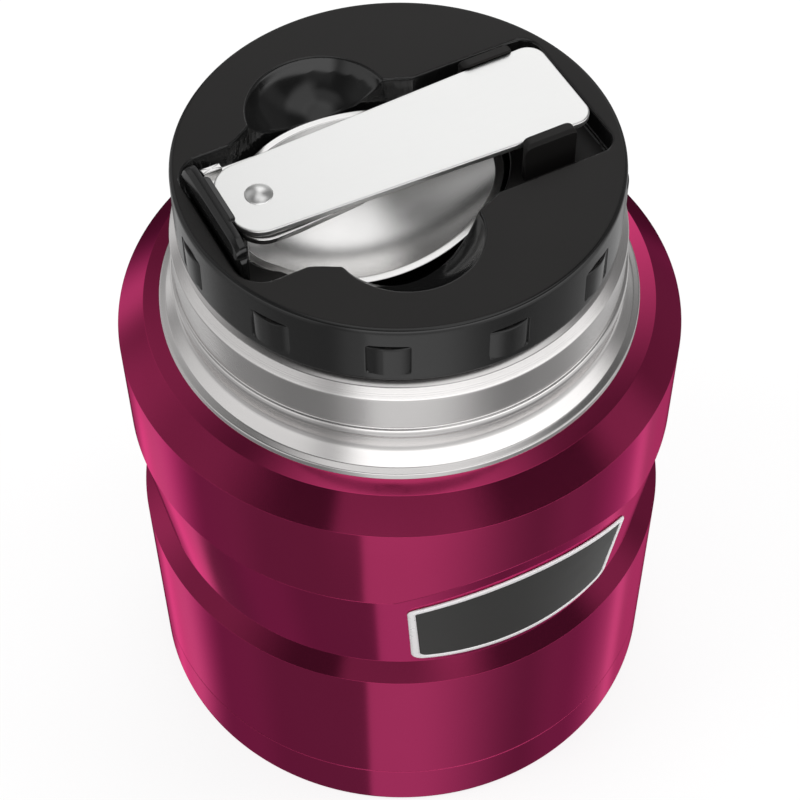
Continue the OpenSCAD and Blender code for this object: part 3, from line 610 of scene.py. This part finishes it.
reach_under = found(lambda x, y: egg_gap(x, y, egg_a + 1.3, egg_b + 1.3) < 0)
reach_drum = found(lambda x, y: np.hypot(x, y) < 30.6)
rows = [ray_row(0 * theta, well_z - 1.3 + 0 * theta)]
for k in (0.3, 0.6, 0.85, 0.97):
    rows.append(ray_row(reach_under * k, well_z - 1.3 + 0 * theta))
for step in (-0.24, -0.004, 0.0, 0.05):
    rows.append(ray_row(reach_under + step, under_height(reach_under + step)))
for k in (0.5, 0.98):
    here = reach_under + 0.05 + (reach_drum - reach_under - 0.05) * k
    rows.append(ray_row(here, drum_z + 0 * theta))
rows += [round_row(30.6, drum_z), round_row(30.6, 118.2), round_row(30.7, 118.3), round_row(33.15, 118.3)]
rows += [round_row(33.25, 118.2), round_row(33.25, 112.6), round_row(33.45, 112.33), round_row(33.6, skirt_z)]
rows += [round_row(35.0, skirt_z)]
bend = np.radians([-90, -60, -30, 0])
rows += [round_row(35.15 + 0.3 * np.cos(a), skirt_z + 0.3 + 0.3 * np.sin(a)) for a in bend]
levels = [112.9, 113.3]
for z in (113.79, 119.89):
    levels += [z + step for step in (-0.3, -0.16, -0.09, -0.04, -0.004, 0.004, 0.1, 0.25)]
levels += [119.58, 119.53, 119.45, 119.34, 119.2, 118.9] + list(np.linspace(114.3, 118.6, 7))
levels += [120.6, 121.6, 122.2, 122.5]
rows += [round_row(skirt_radius(z), z) for z in sorted(levels)]
rows += [ray_row(here, top_height(here)) for here in rings[::-1]]
rows.append(ray_row(0 * theta, well_z + 0 * theta))
cover = skin("stopper_moulding", np.array(rows))
fitted(cover, "stopper", "black_plastic", moulding, "stopper_cover")
cover.data.materials.append(satin_top.material)
cover.data.set_sharp_from_angle(angle=np.radians(38))
count = len(cover.data.polygons)
mid_z, facing = np.zeros(count * 3), np.zeros(count * 3)
cover.data.polygons.foreach_get("center", mid_z)
cover.data.polygons.foreach_get("normal", facing)
# The level faces from the pocket's floor up, in metres, are satin; all others are glossy.
on_top = (mid_z[2::3] > 0.1194) & (facing[2::3] > 0.98)
cover.data.polygons.foreach_set("material_index", on_top.astype(np.int32))
fitted(ridge("stopper_thread", 33.4, 32.35, 111.697, 150, 330), "stopper", "black_plastic", moulding)


def slab(name, line, z0, z1, ease):
    """Plate with rounded edges: the closed outline, moved in along its normals while it
    rises through a quarter circle at the foot and at the brim, and a point at each middle."""
    step = np.roll(line, -1, axis=0) - np.roll(line, 1, axis=0)
    out = np.stack([step[:, 1], -step[:, 0]], -1) / np.linalg.norm(step, axis=1)[:, None]
    turn = np.cross(line, np.roll(line, -1, axis=0)).sum()
    out = out * np.sign(turn)
    mid = line.mean(axis=0)
    a = np.radians(np.linspace(0, 90, 6))
    inset = ease * (1 - np.cos(a))
    rise = ease * (1 - np.sin(a))
    stack = [(mid + (line - out * ease * 1.5 - mid) * k, z0) for k in (0.0, 0.6, 1.0)]
    stack += [(line - out * i, z0 + r) for i, r in zip(inset[::-1], rise[::-1])]
    stack += [(line, z0 + ease * 1.3), (line, z1 - ease * 1.3)]
    stack += [(line - out * i, z1 - r) for i, r in zip(inset, rise)]
    stack += [(mid + (line - out * ease * 1.5 - mid) * k, z1) for k in (1.0, 0.6, 0.0)]
    grid = np.array([np.column_stack([flat, np.full(len(flat), z)]) for flat, z in stack])
    return skin(name, grid)


def loop(corners, radii):
    """Closed outline with rounded corners, from the middle of its first side."""
    pts = np.asarray(corners, float)
    start = (pts[0] + pts[-1]) / 2
    line = eased(np.concatenate([[start], pts, [start]]), radii, 10, 0.15)
    return line[:-1]


# A spring bar at the rivet's end and two clips at the handle's free end hold the spoon down.
# Each is a thin tongue moulded up from the pocket's floor, with a rounded head that hooks
# over the handle's edge. The bar's head and lip get meshes of their own.

def tongue(name, section, span, corner, reach_back, drop, root, foot, way, crosswise=True, side=1):
    """Section (out, z) carried along span. Within corner of either end a quarter circle draws
    back what reaches past root on the side of way, by reach_back, and lowers what stands over
    foot, by drop."""
    near_end = corner * np.array([0.02, 0.1, 0.3, 0.6])
    along = np.sort(np.concatenate([np.linspace(*span, 31), span[0] + near_end, span[1] - near_end]))
    near = np.clip(np.minimum(along - span[0], span[1] - along) / corner, 0, 1)
    swell = np.sqrt(1 - (1 - near) ** 2)[:, None]
    q, z = section[:, 0][None], section[:, 1][None]
    past = (q - root) * way > 0
    q = np.where(past, root + (q - root) * (1 - reach_back * (1 - swell)), q + 0 * swell)
    z = np.where(z > foot, foot + (z - foot) * (1 - drop * (1 - swell)), z + 0 * swell)
    line = along[:, None] + 0 * z
    grid = np.stack([q, line, z], -1) if crosswise else np.stack([line, side * q, z], -1)
    ends = grid[[0, -1]].mean(axis=1, keepdims=True).repeat(grid.shape[1], axis=1)
    return skin(name, np.concatenate([ends[:1], grid, ends[1:]]))


bar = eased([(-30.4, 119.0), (-31.2, 119.0), (-31.35, 123.4), (-31.55, 124.7), (-29.65, 124.7),
             (-29.65, 119.0), (-30.4, 119.0)], [0.1, 0.4, 0.1, 0.1, 0.1], 4)[:-1]
bar = tongue("spring_bar", bar, (-9.3, 10.8), 0.7, 0.9, 0, -31.0, 200, -1)
fitted(bar, "stopper", "black_plastic", moulding)
head = eased([(-30.4, 124.3), (-31.6, 124.3), (-31.6, 124.8), (-31.25, 126.3), (-30.55, 126.8),
              (-29.7, 126.9), (-29.62, 126.9), (-29.65, 124.3), (-30.4, 124.3)],
             [0.1, 0.1, 0.35, 0.4, 0.05, 0.05, 0.1], 5)[:-1]
head = tongue("bar_head", head, (-9.0, 10.7), 3.0, 0, 0.75, -29.65, 124.5, 1)
fitted(head, "stopper", "black_plastic", moulding)
lip = eased([(-30.2, 126.45), (-30.2, 126.8), (-29.6, 127.08), (-28.72, 126.9), (-28.75, 126.42),
             (-29.5, 126.32), (-30.2, 126.45)], [0.1, 0.3, 0.22, 0.15, 0.2], 5)[:-1]
lip = tongue("bar_lip", lip, (-3.8, 6.5), 0.9, 0.8, 0.3, -29.8, 126.3, 1)
fitted(lip, "stopper", "black_plastic", moulding)
for piece in (head, lip):
    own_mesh(piece)
clip = eased([(10.38, 119.0), (10.98, 119.0), (10.98, 126.35), (10.5, 126.85), (8.98, 126.9),
              (9.0, 126.4), (9.78, 126.3), (9.78, 119.0), (10.38, 119.0)],
             [0.05, 0.3, 0.3, 0.15, 0.12, 0.1, 0.05], 5)[:-1]
for name, side in (("clip_front", -1), ("clip_back", 1)):
    piece = tongue(name, clip, (16.4, 25.2), 1.3, 0.8, 0.2, 9.78, 124.0, -1, False, side)
    fitted(piece, "stopper", "black_plastic", satin_top)


# Under the cover, out of sight: the plug cup in the same plastic, fixed below the cover's
# drum and filled with foam, and the silicone sealing ring that sits in the plug's groove.

foam = Finish("cream_foam", Roughness=0.9)
spot = foam.place()
cells = foam.node("ShaderNodeTexVoronoi", {"feature": "DISTANCE_TO_EDGE"}, {"Vector": spot, "Scale": 1800.0})
foam.feed(
    Base_Color=foam.blend(foam.step(cells, 0.0, 0.12), colour(214, 204, 178), colour(240, 233, 212)),
    Normal=foam.bump(cells, 0.0001))

silicone = Finish("grey_silicone", Subsurface_Weight=0.15, Subsurface_Radius=(0.001, 0.001, 0.001))
spot = silicone.place()
cloudy = silicone.noise(spot, 160, 3.0)
silicone.feed(
    Base_Color=silicone.blend(cloudy, colour(200, 200, 196), colour(222, 222, 218)),
    Roughness=cloudy * 0.15 + 0.4,
    Normal=silicone.bump(silicone.noise(spot, 4000, 2.0), 0.00001))

for node, finish in (("stopper_plug", moulding), ("stopper_foam", foam), ("stopper_gasket", silicone)):
    coated(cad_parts[node].data, finish)


# ---------------------------------------------------------------- spoon
# The bowl is pressed from 0.9 mm stainless and polished; its strap folds up at one end and
# back over the bowl as a stem, with a small tab that stops the handle fully open or shut.

spoon_steel = Finish("polished_steel", Metallic=1.0)
spot = spoon_steel.place()
swirls = spoon_steel.noise(spot, 240, 4.0, 0.6)
drawn = spoon_steel.node("ShaderNodeMapping", {}, {"Vector": spot, "Scale": (1.0, 40.0, 8.0)})
fine = spoon_steel.noise(drawn, 300, 3.0, 0.7)
spoon_steel.feed(
    Base_Color=spoon_steel.blend(swirls, colour(228, 227, 226), colour(244, 243, 242)),
    Roughness=fine * 0.06 + swirls * 0.04 + 0.19,
    Normal=spoon_steel.bump(fine, 0.0000015))

# The bowl's rim, how far above it the axis of its curve lies, and the sheet's thickness.
rim_z, axis_h, sheet_t = 118.1, 16.901, 0.9
bowl_a, bowl_b = 22.0, 17.6


def bowl_half(x):
    """Half the bowl's width at x: an egg, eased into half an ellipse at the strap's end."""
    t = np.clip((x - egg_mid) / bowl_a, -1, 1)
    neck = np.clip((x + 22.5) / 5.8, -1, 0)
    neck = np.where(x < -20, 9.6 * np.sqrt(1 - neck * neck), 0)
    egg = bowl_b * np.sqrt(1 - t * t) * (1 - 0.12 * t)
    return (egg + neck + np.sqrt((egg - neck) ** 2 + 1.0)) / 2


def bowl_height(x, y, inset):
    """Height of the bowl's surface: a body turned about a line along X, axis_h above the rim,
    whose radius at x is the hypotenuse of the bowl's half width there and axis_h."""
    r = np.hypot(bowl_half(x), axis_h) - inset
    return rim_z + axis_h - np.sqrt(np.maximum(r * r - y * y, 0.01))


def bowl_row(share, inset, lift=0.0):
    """Ring of the bowl: its outline drawn in to share about the middle, laid on the surface
    that lies inset above the outside, then lifted, and never above the rim."""
    x, y = egg_mid + share * (rim_x - egg_mid), share * rim_y
    return np.stack([x, y, np.minimum(bowl_height(x, y, inset) + lift, rim_z)], -1)


turn = np.linspace(0, 2 * np.pi, 300, endpoint=False)
rim_x = egg_mid + np.where(np.cos(turn) > 0, bowl_a, 23.5) * np.cos(turn)
rim_y = bowl_half(rim_x) * np.sign(np.sin(turn))
# Halving finds the share of the outline at which the sheet's inside meets the rim.
low, high = np.zeros(300), np.ones(300)
for _ in range(40):
    mid = (low + high) / 2
    under = bowl_height(egg_mid + mid * (rim_x - egg_mid), mid * rim_y, sheet_t) < rim_z
    low, high = np.where(under, mid, low), np.where(under, high, mid)
inner = low
# Outside from the bottom up, the flat rim (a lift of 5 mm is cut off there), then the inside.
rows = [bowl_row(k, 0.0) for k in (0, 0.1, 0.2, 0.3, 0.4, 0.5, 0.6, 0.7, 0.8, 0.87, 0.92, 0.96,
                                   0.985, 0.995)]
rows += [bowl_row(1.0, 0.0, -0.12), bowl_row(0.997, 0.0, 5), bowl_row(0.99, 0.0, 5)]
rows += [bowl_row(inner + (1 - inner) * k, 0.0, 5) for k in (0.7, 0.3, 0.1)]
rows += [bowl_row(inner * k, sheet_t) for k in (0.999, 0.993, 0.98, 0.95, 0.9, 0.84, 0.76, 0.67,
                                                0.57, 0.47, 0.36, 0.25, 0.15, 0.07, 0)]
fitted(skin("bowl", np.array(rows)), "spoon", "spoon_steel", spoon_steel, "spoon_bowl")

stem_line = loop([(-28.8, -8.0), (-20.5, -7.8), (-8.5, -6.9), (-8.5, 6.9), (-20.5, 9.1), (-28.8, 9.1)],
                 [4.6, 6.0, 1.5, 1.5, 6.0, 0.5])
fitted(slab("stem", stem_line, 123.5, 124.7, 0.25), "spoon", "spoon_steel", spoon_steel)

path = eased([(-26.6, 117.3), (-28.2, 117.6), (-28.2, 124.1), (-24.0, 124.1)], [0.9, 0.9], 8, 0.1)
step = np.gradient(path, axis=0)
normal = np.stack([step[:, 1], -step[:, 0]], -1) / np.linalg.norm(step, axis=1)[:, None]
section = eased([(0, -0.5), (5, -0.5), (5, 0.5), (-5, 0.5), (-5, -0.5), (0, -0.5)], [0.2] * 4, 4)[:-1]
strap = np.stack([path[:, 0][:, None] + normal[:, 0][:, None] * section[:, 1],
                  0 * path[:, 0][:, None] + section[:, 0],
                  path[:, 1][:, None] + normal[:, 1][:, None] * section[:, 1]], -1)
ends = strap.mean(axis=1, keepdims=True).repeat(len(section), axis=1)
fitted(skin("riser", np.concatenate([ends[:1], strap, ends[-1:]])), "spoon", "spoon_steel", spoon_steel)
tab = loop([(-29.0, 7.9), (-25.9, 7.9), (-25.9, 9.1), (-29.2, 9.1)], [0.1] * 4)
fitted(slab("stop_tab", tab, 123.9, 125.8, 0.15), "spoon", "spoon_steel", spoon_steel)


# The handle is a flat plate, a little wider at its free end, linished lengthways, with its
# edges eased; it swings on a domed rivet. Its face is left plain.

satin = Finish("linished_steel", Metallic=1.0)
spot = satin.place()
drawn = satin.node("ShaderNodeMapping", {}, {"Vector": spot, "Scale": (0.6, 60.0, 1.0)})
stroke = satin.noise(drawn, 260, 3.0, 0.7)
patch = satin.noise(spot, 120, 3.0)
satin.feed(
    Base_Color=satin.blend(patch * 0.5 + stroke * 0.4, colour(236, 236, 235), colour(249, 249, 248)),
    Roughness=stroke * 0.10 + patch * 0.06 + 0.26,
    Normal=satin.bump(stroke, 0.0000018))

plate = loop([(-29.3, -7.3), (29.6, -9.6), (29.6, 9.6), (-29.3, 7.3)], [4.9, 3.0, 3.0, 4.9])
plate_z = 126.2
fitted(slab("handle_plate", plate, 125.0, plate_z, 0.28), "handle", "spoon_steel", satin, "spoon_handle")

# The dome is the cap of a ball, 1 mm high on a head of radius 2.2 mm.
head_r, pivot_x = 2.2, -23.5
ball = (head_r ** 2 + 1.0) / 2
dome_r = np.linspace(0, head_r, 14)
dome = np.stack([dome_r, plate_z + 1.0 - ball + np.sqrt(ball ** 2 - dome_r ** 2)], -1)
rivet_profile = np.concatenate([dome, [[2.2, 126.19], [1.5, 126.15], [1.5, 123.5], [2.15, 123.45],
                                       [2.2, 123.3], [2.2, 122.8], [2.05, 122.65], [0.0, 122.65]]])
angle = np.linspace(0, 2 * np.pi, 64, endpoint=False)
grid = np.stack([rivet_profile[:, :1] * np.cos(angle) + pivot_x, rivet_profile[:, :1] * np.sin(angle),
                 rivet_profile[:, 1:] + 0 * angle], -1)
fitted(skin("rivet", grid), "handle", "spoon_steel", satin, "spoon_rivet")
coated(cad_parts["rivet_washer"].data, spoon_steel)


# ---------------------------------------------------------------- studio
# A white table top under a white sky. The camera looks down at the badge's left from 51.6
# degrees; soft panels stand all round, and dark gaps between them shape the metal.

heading = np.radians(27.2)
across = np.array([np.cos(heading), -np.sin(heading), 0])
away = np.array([np.sin(heading), np.cos(heading), 0])
plumb = np.array([0, 0, 1.0])

sheet = bpy.data.meshes.new("table")
sheet.from_pydata([(-3, -3, 0), (3, -3, 0), (3, 3, 0), (-3, 3, 0)], [], [(0, 1, 2, 3)])
table = bpy.data.objects.new("table", sheet)
table.location.z = -0.0002
bpy.context.scene.collection.objects.link(table)
paper = Finish("white_table", Roughness=0.9, Specular_IOR_Level=0.2)
tooth = paper.noise(paper.place(), 900, 2.0)
paper.feed(Base_Color=paper.blend(tooth, colour(236, 236, 236), colour(240, 240, 240)))
shown = paper.node("ShaderNodeLightPath", out="Is Camera Ray")
glow = paper.node("ShaderNodeEmission", {}, {"Strength": 1.0}, out="Emission")
paper.overlay(shown * 0.82, glow)
sheet.materials.append(paper.material)
table.visible_glossy = False

world = bpy.data.worlds.new("studio")
world.use_nodes = True
bpy.context.scene.world = world
sky = Graph(world.node_tree)
ray = sky.node("ShaderNodeTexCoord", out="Generated")
right_of = sky.node("ShaderNodeVectorMath", {"operation": "DOT_PRODUCT"}, [ray, tuple(across)], out="Value")
front_of = sky.node("ShaderNodeVectorMath", {"operation": "DOT_PRODUCT"}, [ray, tuple(-away)], out="Value")
over = sky.node("ShaderNodeSeparateXYZ", {}, [ray], out="Z")
bearing = sky.node("ShaderNodeMath", {"operation": "ARCTAN2"}, [right_of, front_of]) * (180 / np.pi)
rise = sky.node("ShaderNodeMath", {"operation": "ARCSINE"}, [over]) * (180 / np.pi)


def lobe(left, right, low, high, level, left_soft, right_soft=None, soft_rise=8.0):
    """Soft panel between two bearings and two heights, in degrees, fading at its sides."""
    right_soft = right_soft or left_soft
    wide = sky.step(bearing, left - left_soft, left + left_soft)
    wide = wide * sky.step(bearing, right + right_soft, right - right_soft)
    if low > -90:
        wide = wide * sky.step(rise, low - soft_rise, low + soft_rise)
    if high < 90:
        wide = wide * sky.step(rise, high + soft_rise, high - soft_rise)
    return wide * level


# A plane tilted up towards the front parts the sky: under it lies what the neck's flare and
# lip mirror, above it most of what the painted shoulder and bevel mirror.
lean = over - front_of * 0.367
under = sky.step(lean, 0.24, 0.16)
top = 1 - under
panels = (0.07
          + lobe(-400, 400, -90, -36, 0.12, 1)
          + lobe(-146, -128, -90, -61.5, 0.66, 6, 8, 1.5)
          + lobe(-146, -108, -61.5, -51.5, 0.66, 6, 15, 1.5)
          + lobe(-156, -140, -90, -51.5, 0.42, 1, 10, 1.5)
          + lobe(-156, -108, -51.5, -36, 0.30, 4, 15, 1.5)
          + lobe(-100, -70, -90, -38, 0.05, 10)
          + lobe(-17, 34, -90, -38, 0.37, 1.5, 30)
          + lobe(-30, 34, -54, -38, 0.28, 7, 14, 3)
          + lobe(70, 100, -90, -38, 0.06, 10)
          + lobe(106, 126, -90, -51.5, 0.48, 19, 6, 1.5)
          + lobe(120, 158, -90, -51.5, 0.38, 8, 8, 1.5)
          + lobe(106, 158, -51.5, -36, 0.30, 19, 8, 1.5)
          + lobe(-138, -122, -18, 0, 0.5, 7)
          + under * (lobe(-112, -30, -36, 60, 0.36, 14, 14)
                     + lobe(-112, -30, 0, 60, 0.44, 14, 14, 12)
                     + lobe(-22, 96, -36, 60, 0.60, 8, 14)
                     + lobe(-22, 96, 0, 60, 0.85, 8, 14, 14)
                     + lobe(96, 140, -36, -16, 0.55, 14, 8, 6)
                     + lobe(96, 170, -16, 60, 0.12, 14)
                     + lobe(-140, -112, -36, -16, 0.5, 8, 14, 6)
                     + lobe(-170, -112, -16, 60, 0.12, 14))
          + top * (lobe(-140, -56, 0, 46, 0.18, 12, 16)
                   + lobe(-24, 30, 20, 46, 0.20, 3, 10)
                   + lobe(76, 98, 5, 46, 0.22, 8)
                   + lobe(100, 150, -5, 46, 0.10, 10))
          + lobe(15, 95, 44, 72, 0.85, 12, 12, 5)
          + lobe(-60, 15, 54, 76, 0.45, 20, 12, 4)
          + lobe(150, 400, 24, 68, 1.08, 14, 14, 6)
          + lobe(-400, -163, 24, 68, 1.08, 14, 8, 6)
          + lobe(150, 400, -4, 24, 0.40, 14, 14, 8)
          + lobe(-400, -160, -4, 24, 0.40, 14, 10, 8)
          + lobe(-150, -100, 10, 60, 0.25, 14)
          + lobe(-400, 400, 72, 200, 0.8, 1))
seen = sky.node("ShaderNodeLightPath", out="Is Camera Ray")
shiny = sky.node("ShaderNodeLightPath", out="Is Glossy Ray")
# The camera sees white, glossy rays see the panels, and all others an even 0.75.
strength = seen + (1 - seen) * (shiny * panels + (1 - shiny) * 0.75)
world.node_tree.links.new(strength.socket, world.node_tree.nodes["Background"].inputs["Strength"])
world.node_tree.nodes["Background"].inputs["Color"].default_value = (1, 1, 1, 1)


def stood(thing, place, forward, roll=0.0):
    """Puts a lamp or camera at place, looking along forward, rolled about it in radians."""
    forward = np.asarray(forward, float) / np.linalg.norm(forward)
    right = np.cross(forward, plumb)
    right = right / np.linalg.norm(right)
    up = np.cross(right, forward)
    turn = np.eye(4)
    turn[:3, 0] = right * np.cos(roll) - up * np.sin(roll)
    turn[:3, 1] = right * np.sin(roll) + up * np.cos(roll)
    turn[:3, 2], turn[:3, 3] = -forward, place
    item = bpy.data.objects.new(thing.name, thing)
    bpy.context.scene.collection.objects.link(item)
    item.matrix_world = Matrix(turn.tolist())
    return item


for name, right, far, high, size, power in (
        ("lamp_left", -0.8, -0.2, 0.8, 0.6, 5.0), ("lamp_right", 0.8, 0.1, 0.7, 0.6, 4.0),
        ("lamp_back", 0.1, 0.7, 0.9, 0.8, 4.0)):
    lamp = bpy.data.lights.new(name, "AREA")
    lamp.size, lamp.energy = size, power
    place = across * right + away * far + plumb * high
    stood(lamp, place, plumb * 0.06 - place).visible_glossy = False

tilt = np.radians(51.635)
forward = away * np.cos(tilt) - plumb * np.sin(tilt)
lens = bpy.data.cameras.new("camera")
lens.sensor_width, lens.lens = 36.0, 90.48
lens.shift_x, lens.shift_y = 0.0003, -0.03735
lens.clip_start, lens.clip_end = 0.01, 20
camera = stood(lens, plumb * 0.070 - forward * 0.35083 - across * 0.00006, forward, 0.0086)
bpy.context.scene.camera = camera
bpy.context.scene.view_settings.view_transform = "Standard"
